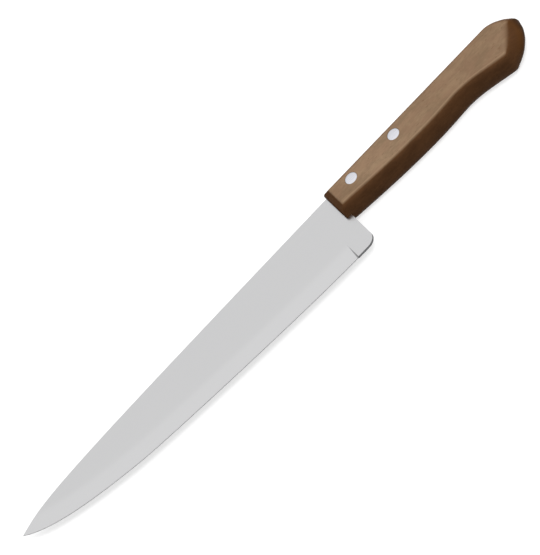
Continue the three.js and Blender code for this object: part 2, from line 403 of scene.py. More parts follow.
class Finish:
    """A material's node tree, with short calls for adding and joining nodes"""

    def __init__(self, tree):
        self.tree = tree

    def add(self, kind, **values):
        node = self.tree.nodes.new(kind)
        for name, value in values.items():
            setattr(node, name, value)
        return node

    def join(self, source, target):
        self.tree.links.new(source, target)

    def feed(self, socket, value):
        """Joins another socket to this one, or sets a plain value on it"""
        if isinstance(value, bpy.types.NodeSocket):
            self.join(value, socket)
        else:
            socket.default_value = value

    def split(self, vector):
        """The X, Y and Z of a vector"""
        node = self.add("ShaderNodeSeparateXYZ")
        self.join(vector, node.inputs["Vector"])
        return node.outputs

    def math(self, operation, *values):
        node = self.add("ShaderNodeMath", operation=operation)
        for socket, value in zip(node.inputs, values):
            self.feed(socket, value)
        return node.outputs[0]

    def weighted(self, *parts):
        """The sum of several values, each with its share"""
        scaled = [self.math("MULTIPLY", value, share) for value, share in parts]
        total = scaled[0]
        for value in scaled[1:]:
            total = self.math("ADD", total, value)
        return total

    def ramp(self, value, low, high, to_low=0.0, to_high=1.0):
        """A value carried smoothly from one range to another, and held at its ends"""
        node = self.add("ShaderNodeMapRange", interpolation_type="SMOOTHSTEP")
        self.feed(node.inputs["Value"], value)
        ends = {"From Min": low, "From Max": high, "To Min": to_low, "To Max": to_high}
        for name, number in ends.items():
            node.inputs[name].default_value = number
        return node.outputs["Result"]

    def mix(self, factor, first, second):
        node = self.add("ShaderNodeMix", data_type="RGBA")
        self.feed(node.inputs["Factor"], factor)
        for name, colour in (("A", first), ("B", second)):
            socket = next(s for s in node.inputs if s.name == name and s.type == "RGBA")
            self.feed(socket, colour if isinstance(colour, bpy.types.NodeSocket) else (*colour, 1.0))
        return next(s for s in node.outputs if s.type == "RGBA")

    def layered(self, colour, *layers):
        """A colour with others laid over it in turn, each with its share"""
        for share, over in layers:
            colour = self.mix(share, colour, over)
        return colour

    def noise(self, vector, scale, detail=3.0):
        """Noise with its own scale along each axis, in waves per metre"""
        mapping = self.add("ShaderNodeMapping")
        self.feed(mapping.inputs["Vector"], vector)
        mapping.inputs["Scale"].default_value = scale
        node = self.add("ShaderNodeTexNoise")
        self.join(mapping.outputs["Vector"], node.inputs["Vector"])
        node.inputs["Scale"].default_value = 1.0
        node.inputs["Detail"].default_value = detail
        return node.outputs["Fac"]

    def bump(self, height, strength, distance):
        node = self.add("ShaderNodeBump")
        self.join(height, node.inputs["Height"])
        node.inputs["Strength"].default_value = strength
        node.inputs["Distance"].default_value = distance
        return node.outputs["Normal"]


def new_material(name):
    """A material with only its shader and output, and the calls to fill it"""
    material = bpy.data.materials.new(name)
    material.use_nodes = True
    finish = Finish(material.node_tree)
    shader = material.node_tree.nodes["Principled BSDF"]
    return material, finish, shader


def polish_lines_group():
    """Fine lines that grinding and polishing leave in metal, as a value around one half"""
    name = "polish lines"
    if name in bpy.data.node_groups:
        return bpy.data.node_groups[name]
    group = bpy.data.node_groups.new(name, "ShaderNodeTree")
    group.interface.new_socket("Coordinates", in_out="INPUT", socket_type="NodeSocketVector")
    group.interface.new_socket("Lines per metre", in_out="INPUT", socket_type="NodeSocketFloat")
    group.interface.new_socket("Length of line", in_out="INPUT", socket_type="NodeSocketFloat")
    group.interface.new_socket("Lines", in_out="OUTPUT", socket_type="NodeSocketFloat")
    finish = Finish(group)
    given = finish.add("NodeGroupInput").outputs
    put_out = finish.add("NodeGroupOutput")
    scale = finish.add("ShaderNodeCombineXYZ")
    finish.join(finish.math("DIVIDE", 1.0, given["Length of line"]), scale.inputs["X"])
    for axis in "YZ":
        finish.join(given["Lines per metre"], scale.inputs[axis])
    stretched = finish.add("ShaderNodeVectorMath", operation="MULTIPLY")
    finish.join(given["Coordinates"], stretched.inputs[0])
    finish.join(scale.outputs["Vector"], stretched.inputs[1])
    noise = finish.add("ShaderNodeTexNoise")
    finish.join(stretched.outputs["Vector"], noise.inputs["Vector"])
    noise.inputs["Scale"].default_value = 1.0
    noise.inputs["Detail"].default_value = 2.0
    finish.join(noise.outputs["Fac"], put_out.inputs["Lines"])
    return group


def polish_lines(finish, spot, lines_per_metre, length_of_line):
    """The polish lines in one material, with its own spacing and its own length in metres"""
    node = finish.add("ShaderNodeGroup", node_tree=polish_lines_group())
    finish.join(spot, node.inputs["Coordinates"])
    node.inputs["Lines per metre"].default_value = lines_per_metre
    node.inputs["Length of line"].default_value = length_of_line
    return node.outputs["Lines"]


# Steel and aluminium


def steel_finish(settings):
    """Satin steel with fine lines along the blade, and sides darkened partly as painted shade and partly
    by the stamped steel's own colour
    """
    tone_spread = 0.004
    roughness_spread = 0.015
    sheared_roughness = 0.2
    line_strength = 0.006
    line_depth = 0.01 * MM
    material, finish, shader = new_material("satin steel")
    place = finish.add("ShaderNodeTexCoord")
    spot = place.outputs["Object"]
    lines = polish_lines(finish, spot, lines_per_metre=2600.0, length_of_line=0.03)
    clouds = finish.noise(spot, (30.0, 45.0, 45.0))

    # The stamped sides stand upright, and the wheel's run-out faces along the blade. Both are darkened
    # as painted shade by the way they face, and the stamped sides partly by the steel's own darker
    # colour.
    facing = finish.split(place.outputs["Normal"])
    stamped = finish.ramp(finish.math("ABSOLUTE", facing["Z"]), 0.55, 0.95, 1.0, 0.0)
    run_out_shade = finish.ramp(finish.math("ABSOLUTE", facing["X"]), 0.05, 0.3, 0.0, 0.55)
    sheared_and_shaded = finish.math("MAXIMUM", stamped, run_out_shade)

    steel = Vector(settings.steel)
    shade = finish.ramp(finish.weighted((lines, 0.6), (clouds, 0.4)), NOISE_LOW, NOISE_HIGH)
    polished = finish.mix(shade, steel * (1 - tone_spread), steel * (1 + tone_spread))
    # Painted shade on the upright sides and the wheel's run-out, partly the stamped steel's own darker
    # colour
    finish.join(finish.mix(sheared_and_shaded, polished, settings.sheared_and_shaded_steel), shader.inputs["Base Color"])
    smoothest = settings.roughness - roughness_spread
    roughest = settings.roughness + roughness_spread
    polished_roughness = finish.ramp(lines, NOISE_LOW, NOISE_HIGH, smoothest, roughest)
    roughness = finish.weighted((polished_roughness, 1.0), (sheared_and_shaded, sheared_roughness))
    finish.join(roughness, shader.inputs["Roughness"])
    finish.join(finish.bump(lines, line_strength, line_depth), shader.inputs["Normal"])
    shader.inputs["Metallic"].default_value = 1.0
    return material


def aluminium_finish(settings):
    """Soft metal with fine grinding lines"""
    darkest = 0.95
    lightest = 1.03
    roughness_spread = 0.05
    line_strength = 0.1
    line_depth = 0.02 * MM
    material, finish, shader = new_material("ground aluminium")
    place = finish.add("ShaderNodeTexCoord")
    lines = polish_lines(finish, place.outputs["Object"], lines_per_metre=5000.0, length_of_line=0.006)
    metal = Vector(settings.metal)
    shade = finish.ramp(lines, NOISE_LOW, NOISE_HIGH)
    finish.join(finish.mix(shade, metal * darkest, metal * lightest), shader.inputs["Base Color"])
    smoothest = settings.roughness - roughness_spread
    roughest = settings.roughness + roughness_spread
    roughness = finish.ramp(lines, NOISE_LOW, NOISE_HIGH, smoothest, roughest)
    finish.join(roughness, shader.inputs["Roughness"])
    finish.join(finish.bump(lines, line_strength, line_depth), shader.inputs["Normal"])
    shader.inputs["Metallic"].default_value = 1.0
    return material


# Wood


def wood_finish(settings):
    """Plain brown hardwood, mottled on its sanded faces, and darker on the chamfers and sides where it
    was cut to shape, partly as painted shade
    """
    pore_share = 0.45
    smoothest = 0.5
    roughest = 0.62
    specular_level = 0.06
    relief_strength = 0.35
    relief_depth = 0.06 * MM
    material, finish, shader = new_material("brown hardwood")
    place = finish.add("ShaderNodeTexCoord")
    spot = place.outputs["Object"]
    facing = finish.split(place.outputs["Normal"])
    streaks = finish.noise(spot, (45.0, 520.0, 520.0), detail=4.0)
    clouds = finish.noise(spot, (90.0, 190.0, 190.0))
    grain = finish.noise(spot, (420.0, 900.0, 900.0), detail=2.0)
    pores = finish.ramp(finish.noise(spot, (330.0, 1700.0, 1700.0), detail=2.0), 0.64, 0.76)
    tone = finish.ramp(finish.weighted((streaks, 0.22), (clouds, 0.5), (grain, 0.28)), 0.38, 0.62)

    # Where on the handle a point lies
    at = finish.split(spot)
    from_front = finish.math("SUBTRACT", at["X"], DRAWING_ORIGIN.x)
    from_middle = finish.math("ABSOLUTE", finish.math("SUBTRACT", at["Z"], DRAWING_ORIGIN.z))
    below_face = finish.math("SUBTRACT", DRAWING_ORIGIN.z - HANDLE_LOW.z, from_middle)

    # The faces blend into the chamfers, more slowly at the nose. The chamfers' darker colour is partly
    # painted shade.
    sanded = sanded_wood(settings, finish, spot, facing, from_front, tone)
    chamfered = chamfered_wood(settings, finish, facing, from_front, below_face, tone)
    slowness = finish.ramp(from_front, 102.0 * MM, 111.0 * MM, 1.0, 2.4)
    worked_and_shaded = finish.ramp(finish.math("DIVIDE", below_face, slowness), 0.0, 0.6 * MM)
    shaped = finish.mix(worked_and_shaded, sanded, chamfered)
    coloured = finish.mix(finish.math("MULTIPLY", pores, pore_share), shaped, settings.pore_and_shade)
    finish.join(coloured, shader.inputs["Base Color"])

    roughness = finish.ramp(streaks, NOISE_LOW, NOISE_HIGH, smoothest, roughest)
    finish.join(roughness, shader.inputs["Roughness"])
    relief = finish.weighted((streaks, 0.4), (pores, -1.0))
    finish.join(finish.bump(relief, relief_strength, relief_depth), shader.inputs["Normal"])
    shader.inputs["Specular IOR Level"].default_value = specular_level
    return material


def sanded_wood(settings, finish, spot, facing, from_front, tone):
    """Colour of the faces, with patches and flecks, darker ends, a painted highlight along the belly's
    crease and painted shade where the face rounds over to the spine
    """
    darkest = 0.85
    lightest = 1.11
    # Brightness of the painted highlight along the belly's crease
    highlight_brightness = 1.2
    blush = finish.ramp(finish.noise(spot, (120.0, 210.0, 260.0), detail=2.0), 0.42, 0.62, 0.0, 0.45)
    flecks = finish.ramp(finish.noise(spot, (190.0, 340.0, 340.0)), 0.65, 0.77, 0.0, 0.45)
    dark_front = finish.ramp(from_front, 3.0 * MM, 25.0 * MM, 0.2, 0.0)
    dark_rear = finish.ramp(from_front, 30.0 * MM, 70.0 * MM, 0.0, 0.17)
    # Painted shade where the face rounds over towards the spine
    painted_spine_shade = finish.ramp(facing["Y"], 0.05, 0.45, 0.0, 0.4)

    # A painted highlight along the belly's crease, left out where the surface faces an end
    bellywards = finish.math("MULTIPLY", facing["Y"], -1.0)
    endwards = finish.math("ABSOLUTE", facing["X"])
    painted_crease_highlight = finish.ramp(bellywards, 0.02, 0.12, 0.0, 0.6)
    painted_crease_highlight = finish.math("MULTIPLY", painted_crease_highlight, finish.ramp(bellywards, 0.15, 0.35, 1.0, 0.0))
    painted_crease_highlight = finish.math("MULTIPLY", painted_crease_highlight, finish.ramp(endwards, 0.03, 0.12, 1.0, 0.0))

    wood = Vector(settings.wood)
    return finish.layered(
        finish.mix(tone, wood * darkest, wood * lightest),
        (blush, settings.ruddy_wood),
        (flecks, settings.worked_and_shaded_wood),
        (dark_front, settings.worked_and_shaded_wood),
        (dark_rear, settings.worked_and_shaded_wood),
        (painted_crease_highlight, wood * highlight_brightness),
        (painted_spine_shade, settings.worked_and_shaded_wood),
    )


def chamfered_wood(settings, finish, facing, from_front, below_face, tone):
    """Colour of the chamfers and sides, with painted shade deeper down the slanted chamfers and at the
    rim of the ends and the front end, and darker across the grain and at the nose tip
    """
    darkest = 0.78
    lightest = 1.1
    rim_dark = 0.5
    endwards = finish.math("ABSOLUTE", facing["X"])
    end_grain = finish.ramp(endwards, 0.35, 0.7)
    # Painted shade at the rim where the ends stand upright and at the front end's rim, and darker at the
    # nose tip
    end_rim_shade = finish.ramp(endwards, 0.72, 0.95, 0.0, 0.7)
    nose_tip = finish.ramp(from_front, 113.5 * MM, 117.0 * MM, 0.0, 0.8)
    front_rim_shade = finish.ramp(from_front, 0.3 * MM, 0.9 * MM, 0.45, 0.0)
    painted_rim_shade = finish.math("MAXIMUM", finish.math("MAXIMUM", end_rim_shade, nose_tip), front_rim_shade)
    # Painted shade that deepens down the slanted chamfers, below the face
    slanted = finish.ramp(finish.math("ABSOLUTE", facing["Z"]), 0.25, 0.7)
    depth = finish.ramp(below_face, 0.3 * MM, 2.2 * MM, 0.05, 0.55)
    painted_chamfer_shade = finish.math("MULTIPLY", slanted, depth)

    # Base colour of the chamfers and sides, partly painted shade
    worked_and_shaded_wood = Vector(settings.worked_and_shaded_wood)
    return finish.layered(
        finish.mix(tone, worked_and_shaded_wood * darkest, worked_and_shaded_wood * lightest),
        (painted_chamfer_shade, settings.pore_and_shade),
        (end_grain, settings.end_grain),
        (painted_rim_shade, Vector(settings.pore_and_shade) * rim_dark),
    )


# Blade


class BladeColumn(NamedTuple):
    """A column's lower end, the edge's slope there, and the wheel's run-out and its pull forwards"""

    x: float
    low_y: float
    slope: float = 0.0
    run_out: float = 1.0
    pull: float = 0.0


class BladePlan:
    """Where each column and row of the blade's upper half lies"""

    # Counts, and shares of the blade's depth and of the crease
    SHARP_COLUMNS = 84
    RAMP_COLUMNS = 6
    HEEL_COLUMNS = 3
    ROUND_COLUMNS = 10
    FLAT_ROWS = 4
    TANG_ROWS = 3
    FOOT_ROWS = 2
    CURVE_STEPS = 120
    CROWDING_AT_TIP = 1.35
    CREASE_SHARE = 0.72
    SOFT_SHARE = 0.25
    CREASE_STEPS = (-1.0, -0.5, 0.0, 0.5, 1.0)

    def __init__(self, settings):
        self.settings = settings
        self.half = (BLADE_HIGH.z - BLADE_LOW.z) / 2
        self.half_edge = settings.edge_thickness / 2
        self.edge_points = curve_points(EDGE_CURVES, self.CURVE_STEPS)
        self.spine_points = curve_points(SPINE_CURVES, self.CURVE_STEPS)
        self.spine_y = SPINE_FRONT[1] * MM
        self.columns = self.plan_columns()
        self.rows = len(self.heights(self.columns[0])) + self.FOOT_ROWS

    def plan_columns(self):
        """Columns from the tip along the edge, over the wheel's run-out and round the heel"""
        tip_x = TIP[0] * MM
        plunge = Vector(PLUNGE) * MM
        ramp_start = plunge.x - self.settings.plunge_width
        columns = []
        for step in range(self.SHARP_COLUMNS):
            share = step / self.SHARP_COLUMNS
            x = tip_x + (ramp_start - tip_x) * share ** self.CROWDING_AT_TIP
            columns.append(BladeColumn(x, *height_and_slope(self.edge_points, x), run_out=0.0))
        for step in range(self.RAMP_COLUMNS):
            run_out = step / (self.RAMP_COLUMNS - 1)
            pull = self.settings.plunge_width * (1.0 - run_out)
            columns.append(BladeColumn(plunge.x, plunge.y, run_out=run_out, pull=pull))
        round_x = (HEEL_OVERLAP - HEEL_RADIUS) * MM
        for step in range(1, self.HEEL_COLUMNS):
            share = step / self.HEEL_COLUMNS
            columns.append(BladeColumn(plunge.x + (round_x - plunge.x) * share, plunge.y))
        radius = HEEL_RADIUS * MM
        for step in range(self.ROUND_COLUMNS + 1):
            turn = math.pi / 2 * step / self.ROUND_COLUMNS
            x = round_x + radius * math.sin(turn)
            columns.append(BladeColumn(x, plunge.y + radius * (1 - math.cos(turn))))
        return columns

    def half_thickness(self, distance):
        """Half the ground blade's thickness at a distance from the cutting edge"""
        width = self.settings.bevel_width
        soft = self.settings.bevel_softness
        rate = (self.half - self.half_edge) / width
        if distance > width + soft:
            return self.half
        if distance < width - soft:
            return self.half_edge + rate * distance
        return self.half - rate * (width + soft - distance) ** 2 / (4 * soft)

    def heights(self, column):
        """Heights over the column's lower end at which the rows lie"""
        spine_y = self.spine_y
        if column.x < 0:
            spine_y = height_and_slope(self.spine_points, column.x)[0]
        depth = spine_y - column.low_y
        width = self.settings.bevel_width * math.hypot(1.0, column.slope)
        crease = min(width, self.CREASE_SHARE * depth)
        soft = min(self.settings.bevel_softness, self.SOFT_SHARE * crease)
        start = crease + soft
        tang = self.tang_height(column, start, depth)
        heights = [0.0, crease / 2]
        heights += [crease + soft * step for step in self.CREASE_STEPS]
        heights += even_steps(start, tang, self.FLAT_ROWS)
        heights += even_steps(tang, depth, self.TANG_ROWS)
        return heights

    def tang_height(self, column, start, depth):
        """Height of the row that runs on into the tang's lower side"""
        if column.x >= PLUNGE[0] * MM:
            return TANG_BOTTOM * MM - column.low_y
        heel_depth = self.spine_y - PLUNGE[1] * MM
        heel_start = self.settings.bevel_width + self.settings.bevel_softness
        heel_tang = (TANG_BOTTOM - PLUNGE[1]) * MM
        return start + (depth - start) * (heel_tang - heel_start) / (heel_depth - heel_start)

    def place(self, number, row):
        """The point of a column and row, where the first and last rows lie on the middle plane"""
        column = self.columns[number]
        heights = self.heights(column)
        height = heights[min(max(row - 1, 0), len(heights) - 1)]
        ground = self.half_thickness(height / math.hypot(1.0, column.slope))
        depth_share = (self.half - ground) / (self.half - self.half_edge)
        x = column.x - column.pull * depth_share
        y = column.low_y + height
        z = ground + (self.half - ground) * column.run_out ** 2
        if row == 0 or row > len(heights):
            z = 0.0
        return Vector((x - self.lean(x, y), y, z))

    def lean(self, x, y):
        """How far the heel leans forward, most at its lower rear corner"""
        along = (x / MM - PLUNGE[0]) / (HEEL_OVERLAP - PLUNGE[0])
        down = (TANG_BOTTOM - y / MM) / (TANG_BOTTOM - PLUNGE[1] - HEEL_RADIUS)
        return HEEL_SLANT * MM * max(along, 0.0) * min(max(down, 0.0), 1.0)


def height_and_slope(points, x):
    """Height and slope of a line of points at x"""
    for before, after in zip(points, points[1:]):
        if x <= after.x or after is points[-1]:
            slope = (after.y - before.y) / (after.x - before.x)
            return before.y + slope * (x - before.x), slope
    raise RuntimeError("the blade's outline has no points")


def lay_out_blade(plan):
    """A grid with its points on the upper half of the blade"""
    columns = len(plan.columns)
    deselect_all()
    bpy.ops.mesh.primitive_grid_add(x_subdivisions=columns - 1, y_subdivisions=plan.rows - 1, size=2.0)
    blade = new_piece("ground_blade")
    for vert in blade.data.vertices:
        column = round((vert.co.x + 1) / 2 * (columns - 1))
        row = round((vert.co.y + 1) / 2 * (plan.rows - 1))
        vert.co = plan.place(column, row)
    return blade


def draw_out_tang(blade):
    """The tang is drawn out of the heel's rear side, above the handle's notch"""
    rear_x = HEEL_OVERLAP * MM
    tang_end = BLADE_HIGH.x - DRAWING_ORIGIN.x
    near = NEAR * MM

    def on_tang_root(edge):
        return all(v.co.x > rear_x - near and v.co.y > TANG_BOTTOM * MM - near for v in edge.verts)

    select_in_edit_mode(blade, "edges", on_tang_root)
    bpy.ops.mesh.extrude_region_move(TRANSFORM_OT_translate={"value": (tang_end - rear_x, 0.0, 0.0)})


def close_sides(blade):
    """The open sides go down to the middle plane"""

    def on_open_side(edge):
        return edge.is_boundary and all(v.co.z > NEAR * MM for v in edge.verts)

    select_in_edit_mode(blade, "edges", on_open_side)
    bpy.ops.mesh.extrude_region()
    shape = bmesh.from_edit_mesh(blade.data)
    for vert in shape.verts:
        if vert.select:
            vert.co.z = 0.0
    bmesh.update_edit_mesh(blade.data)
    close_up()


def mirror_down(piece):
    """The half above the middle plane is mirrored below it"""
    bpy.ops.object.mode_set(mode="OBJECT")
    bpy.ops.object.modifier_add(type="MIRROR")
    mirror = piece.modifiers[-1]
    mirror.use_axis = (False, False, True)
    mirror.merge_threshold = MIRROR_MERGE_DISTANCE * MM
    bpy.ops.object.modifier_apply(modifier=mirror.name)
    bpy.ops.object.mode_set(mode="EDIT")
    close_up()


def round_tang_corners(blade):
    tang_end = BLADE_HIGH.x - DRAWING_ORIGIN.x
    corner_heights = (TANG_BOTTOM * MM, SPINE_FRONT[1] * MM)
    near = NEAR * MM

    def at_corner(vert):
        return vert.co.x > tang_end - near and min(abs(vert.co.y - y) for y in corner_heights) < near

    def on_tang_corner(edge):
        upright = abs(edge.verts[0].co.z - edge.verts[1].co.z) > near
        return upright and all(at_corner(v) for v in edge.verts)

    select_in_edit_mode(blade, "edges", on_tang_corner)
    bpy.ops.mesh.bevel(offset=TANG_RADIUS * MM, segments=TANG_CORNER_STEPS, affect="EDGES")


def model_blade(settings):
    plan = BladePlan(settings)
    blade = lay_out_blade(plan)
    bpy.ops.object.mode_set(mode="EDIT")
    close_up()
    draw_out_tang(blade)
    close_sides(blade)
    mirror_down(blade)
    round_tang_corners(blade)
    move_whole_mesh(DRAWING_ORIGIN)
    bpy.ops.object.mode_set(mode="OBJECT")

    hole = (SLEEVE_RADIUS + HOLE_CLEARANCE) * MM
    for place in RIVET_PLACES:
        cut_away(blade, bar_cutter(rivet_centre(place), hole, -2 * plan.half, 2 * plan.half))
    finish_piece(blade, "root", "blade", steel_finish(settings), BLADE_SMOOTHING)


# Handle


class FaceStation(NamedTuple):
    """A point of the face's border, its way outwards, its creases' softness and how far it draws in"""

    point: Vector
    outwards: Vector
    softness: float
    inset: float = 0.0


class FacePlan:
    """Stations round the handle's flat face, and the rings that go from it over the chamfer"""

    # Counts, lengths in millimetres, and shares
    CORNER_STEPS = 4
    ROUND_STEPS = 4
    FRONT_STEPS = 6
    CURVE_STEPS = 30
    NOSE_STEPS = 24
    SPINE_STEPS = 16
    KEEP_CLEAR = 2.8
    FACE_RING = 0.5
    SWELL_HALF_HEIGHT = 3.5
    SWELL_FADE = 6.0
    BUTT_FLATNESS = 2.6
    FRONT_CORNER_SOFTNESS = 0.5
    NOSE_SOFTNESS = 1.2
    MOST_ROUNDED = 0.48
    MOST_OF_SIDE = 0.95
    BEAK_LEAN = 1.2
    BEAK_LEAN_REACH = 10.0

    def __init__(self, settings):
        self.settings = settings
        self.chamfer = settings.chamfer
        self.half = (HANDLE_HIGH.z - HANDLE_LOW.z) / 2
        self.stations = self.plan_stations()
        self.rings = len(self.profile(self.stations[0]))

    def plan_stations(self):
        """Stations down the front end, along the belly, up the butt and back along the spine"""
        settings = self.settings
        front = straight_points(FACE_FRONT_TOP, FACE_FRONT_BOTTOM, self.FRONT_STEPS)
        belly = curve_points((BELLY_CURVE, WAIST_CURVE), self.CURVE_STEPS)
        butt = curve_points((BUTT_CURVE,), self.CURVE_STEPS)
        nose = curve_points((NOSE_CURVE,), self.NOSE_STEPS)
        spine = nose + straight_points(FACE_SPINE_END, FACE_FRONT_TOP, self.SPINE_STEPS)[1:]
        sides = ((front, 0.0), (belly, 1.0), (butt, 1.0), (spine, 1.0))
        corners = (
            (settings.front_corner, self.FRONT_CORNER_SOFTNESS),
            (settings.beak_corner, 1.0),
            (settings.nose_corner, 1.0 + self.NOSE_SOFTNESS),
            (settings.front_corner, self.FRONT_CORNER_SOFTNESS),
        )
        stations = []
        for index, (points, softness) in enumerate(sides):
            following = sides[(index + 1) % len(sides)][0]
            stations += self.side_stations(points, softness)
            stations += self.corner_stations(points, following, *corners[index])
        return [self.soften_butt(station, butt, nose) for station in stations]

    def side_stations(self, points, softness):
        """Stations along one side, clear of its corners"""
        clear = self.KEEP_CLEAR * MM
        stations = []
        for before, here, after in zip(points, points[1:], points[2:]):
            if min((here - points[0]).length, (here - points[-1]).length) > clear:
                stations.append(FaceStation(here, outward((after - before).normalized()), softness))
        return stations

    def corner_stations(self, points, following, cut, softness):
        """Stations round the corner between one side and the following one"""
        arriving = (points[-1] - points[-2]).normalized()
        leaving = (following[1] - following[0]).normalized()
        outwards = outward(arriving) + outward(leaving)
        outwards /= outwards.dot(outward(arriving))
        stations = []
        for step in range(self.CORNER_STEPS + 1):
            share = step / self.CORNER_STEPS
            shift = leaving * share ** 2 - arriving * (1 - share) ** 2
            stations.append(FaceStation(points[-1] + shift * cut, outwards, softness))
        return stations

    def soften_butt(self, station, butt, nose):
        """Over the butt, the face's border runs straighter and its crease softens towards the nose"""
        share = 0.0
        inset = 0.0
        if station.point in butt:
            share = butt.index(station.point) / (len(butt) - 1)
            inset = self.BUTT_FLATNESS * MM * bulge(share)
        elif station.point in nose:
            share = 1 - nose.index(station.point) / (len(nose) - 1)
        softness = station.softness + self.NOSE_SOFTNESS * share
        return FaceStation(station.point, station.outwards, softness, inset)

    def profile(self, station):
        """Growth and height of each ring at a station, from the upper face to the lower one"""
        crisp = self.settings.front_softness
        crease = crisp + (self.settings.crease_softness - crisp) * station.softness
        side = crisp + (self.settings.side_softness - crisp) * station.softness
        edge = Vector((self.chamfer, self.half - self.chamfer))
        face_edge = Vector((-station.inset, self.half))
        slant = edge - face_edge
        most = self.MOST_ROUNDED * slant.length
        crease = min(crease, most)
        side = min(side, most, self.MOST_OF_SIDE * edge.y)
        slant.normalize()
        crease_start = face_edge - Vector((crease, 0.0))
        upper = [face_edge - Vector((crease + self.FACE_RING * MM, 0.0))]
        upper += rounded(crease_start, face_edge, face_edge + slant * crease, self.ROUND_STEPS)
        upper += rounded(edge - slant * side, edge, edge - Vector((0.0, side)), self.ROUND_STEPS)
        lower = [Vector((growth, -height)) for growth, height in reversed(upper)]
        return upper + [Vector((self.chamfer, 0.0))] + lower

    def place(self, number, ring):
        """The point of a station and ring"""
        station = self.stations[number]
        growth, height = self.profile(station)[ring]
        flat = station.point + station.outwards * growth
        along = flat.x + self.swell(station.point, height) + self.lean(station.point, growth)
        return Vector((along, flat.y, height))

    def lean(self, point, growth):
        """How far the face's corner at the beak leans to the rear, fading over the chamfer"""
        corner = Vector(FACE_BEAK) * MM
        nearness = 1.0 - (point - corner).length / (self.BEAK_LEAN_REACH * MM)
        fade = (1.0 - max(growth, 0.0) / self.chamfer) ** 3
        return self.BEAK_LEAN * MM * max(nearness, 0.0) * fade

    def swell(self, point, height):
        """How far the butt stands out at a height, rising from the beak and the spine to the nose"""
        across = 1.0 - (height / (self.SWELL_HALF_HEIGHT * MM)) ** 2
        along = (point.x / MM - FACE_BEAK[0]) / self.SWELL_FADE
        return self.settings.butt_swell * max(across, 0.0) * min(max(along, 0.0), 1.0)


def bulge(share):
    """Rises from nothing at one end to one in the middle, and falls to nothing at the other end"""
    return 4 * share * (1 - share)


def outward(direction):
    """The outer side of an outline that runs with its inside on the left"""
    return Vector((direction.y, -direction.x))


def rounded(start, corner, end, steps):
    """Points of a curve that rounds off a corner"""
    points = []
    for step in range(steps + 1):
        share = step / steps
        points.append(start * (1 - share) ** 2 + corner * 2 * share * (1 - share) + end * share ** 2)
    return points


def lay_ring(handle, plan, ring):
    """Puts each selected vertex on a ring, by its station's number"""
    shape = bmesh.from_edit_mesh(handle.data)
    station = shape.verts.layers.int["station"]
    for vert in shape.verts:
        if vert.select:
            vert.co = plan.place(vert[station], ring)
    bmesh.update_edit_mesh(handle.data)


def wrap_handle(plan):
    """A ring round the upper face is drawn out over the chamfers and in again to the lower face"""
    deselect_all()
    bpy.ops.mesh.primitive_circle_add(vertices=len(plan.stations), radius=1.0)
    handle = new_piece("shaped_handle")
    bpy.ops.object.mode_set(mode="EDIT")
    shape = bmesh.from_edit_mesh(handle.data)
    station = shape.verts.layers.int.new("station")
    for vert in shape.verts:
        vert[station] = vert.index
    bmesh.update_edit_mesh(handle.data)
    bpy.ops.mesh.select_mode(type="EDGE")
    bpy.ops.mesh.select_all(action="SELECT")
    lay_ring(handle, plan, 0)
    for ring in range(1, plan.rings):
        bpy.ops.mesh.extrude_region()
        lay_ring(handle, plan, ring)
    for side in (1, -1):
        select_in_edit_mode(
            handle, "edges",
            lambda edge: edge.is_boundary and all(v.co.z * side > 0 for v in edge.verts),
        )
        bpy.ops.mesh.edge_face_add()
    close_up()
    move_whole_mesh(DRAWING_ORIGIN)
    bpy.ops.object.mode_set(mode="OBJECT")
    handle.data.attributes.remove(handle.data.attributes["station"])
    return handle


def cut_tang_slot(handle):
    """The slot for the tang, open along the spine, and the notch for the heel"""
    slot_z = (BLADE_HIGH.z - BLADE_LOW.z) / 2 / MM + SLOT_CLEARANCE
    tang_end = (BLADE_HIGH.x - DRAWING_ORIGIN.x) / MM
    slot_low = (-CUT_MARGIN, TANG_BOTTOM - END_CLEARANCE, -slot_z)
    slot_high = (tang_end + END_CLEARANCE, CUT_MARGIN, slot_z)
    cut_away(handle, box_cutter(slot_low, slot_high))
    notch_low = (-2 * CUT_MARGIN, PLUNGE[1], -slot_z)
    notch_high = (HEEL_OVERLAP + END_CLEARANCE, TANG_BOTTOM, slot_z)
    cut_away(handle, box_cutter(notch_low, notch_high))


def cut_rivet_holes(handle, half):
    """A hole right through for each rivet, and a seat for a head at both faces"""
    shank = (SLEEVE_RADIUS + HOLE_CLEARANCE) * MM
    seat = half - HEAD_THICKNESS * MM
    outside = half + CUT_MARGIN * MM
    for place in RIVET_PLACES:
        low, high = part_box(f"{place}_rivet_pin")
        centre = rivet_centre(place)
        head = (high.x - low.x) / 2 + HOLE_CLEARANCE * MM
        cut_away(handle, bar_cutter(centre, shank, -outside, outside))
        cut_away(handle, bar_cutter(centre, head, seat, outside))
        cut_away(handle, bar_cutter(centre, head, -outside, -seat))


def model_handle(settings):
    plan = FacePlan(settings)
    handle = wrap_handle(plan)
    cut_tang_slot(handle)
    cut_rivet_holes(handle, plan.half)
    finish_piece(handle, "root", "handle", wood_finish(settings), HANDLE_SMOOTHING)


# Rivets


def draw_out_shank(rivet, head_radius, head_bottom, hollow):
    """The shank under the head, and the sleeve's bore up to its head"""
    shank_radius = (SLEEVE_RADIUS if hollow else PIN_RADIUS) * MM
    shank_end = -head_bottom + END_CLEARANCE * MM
    drop = shank_end - head_bottom
    select_in_edit_mode(rivet, "faces", lambda face: face.normal.z < -LEVEL)
    bpy.ops.mesh.inset(thickness=head_radius - shank_radius)
    bpy.ops.mesh.extrude_region_move(TRANSFORM_OT_translate={"value": (0.0, 0.0, drop)})
    if hollow:
        bpy.ops.mesh.inset(thickness=shank_radius - (PIN_RADIUS + HOLE_CLEARANCE) * MM)
        bpy.ops.mesh.extrude_region_move(TRANSFORM_OT_translate={"value": (0.0, 0.0, -drop)})


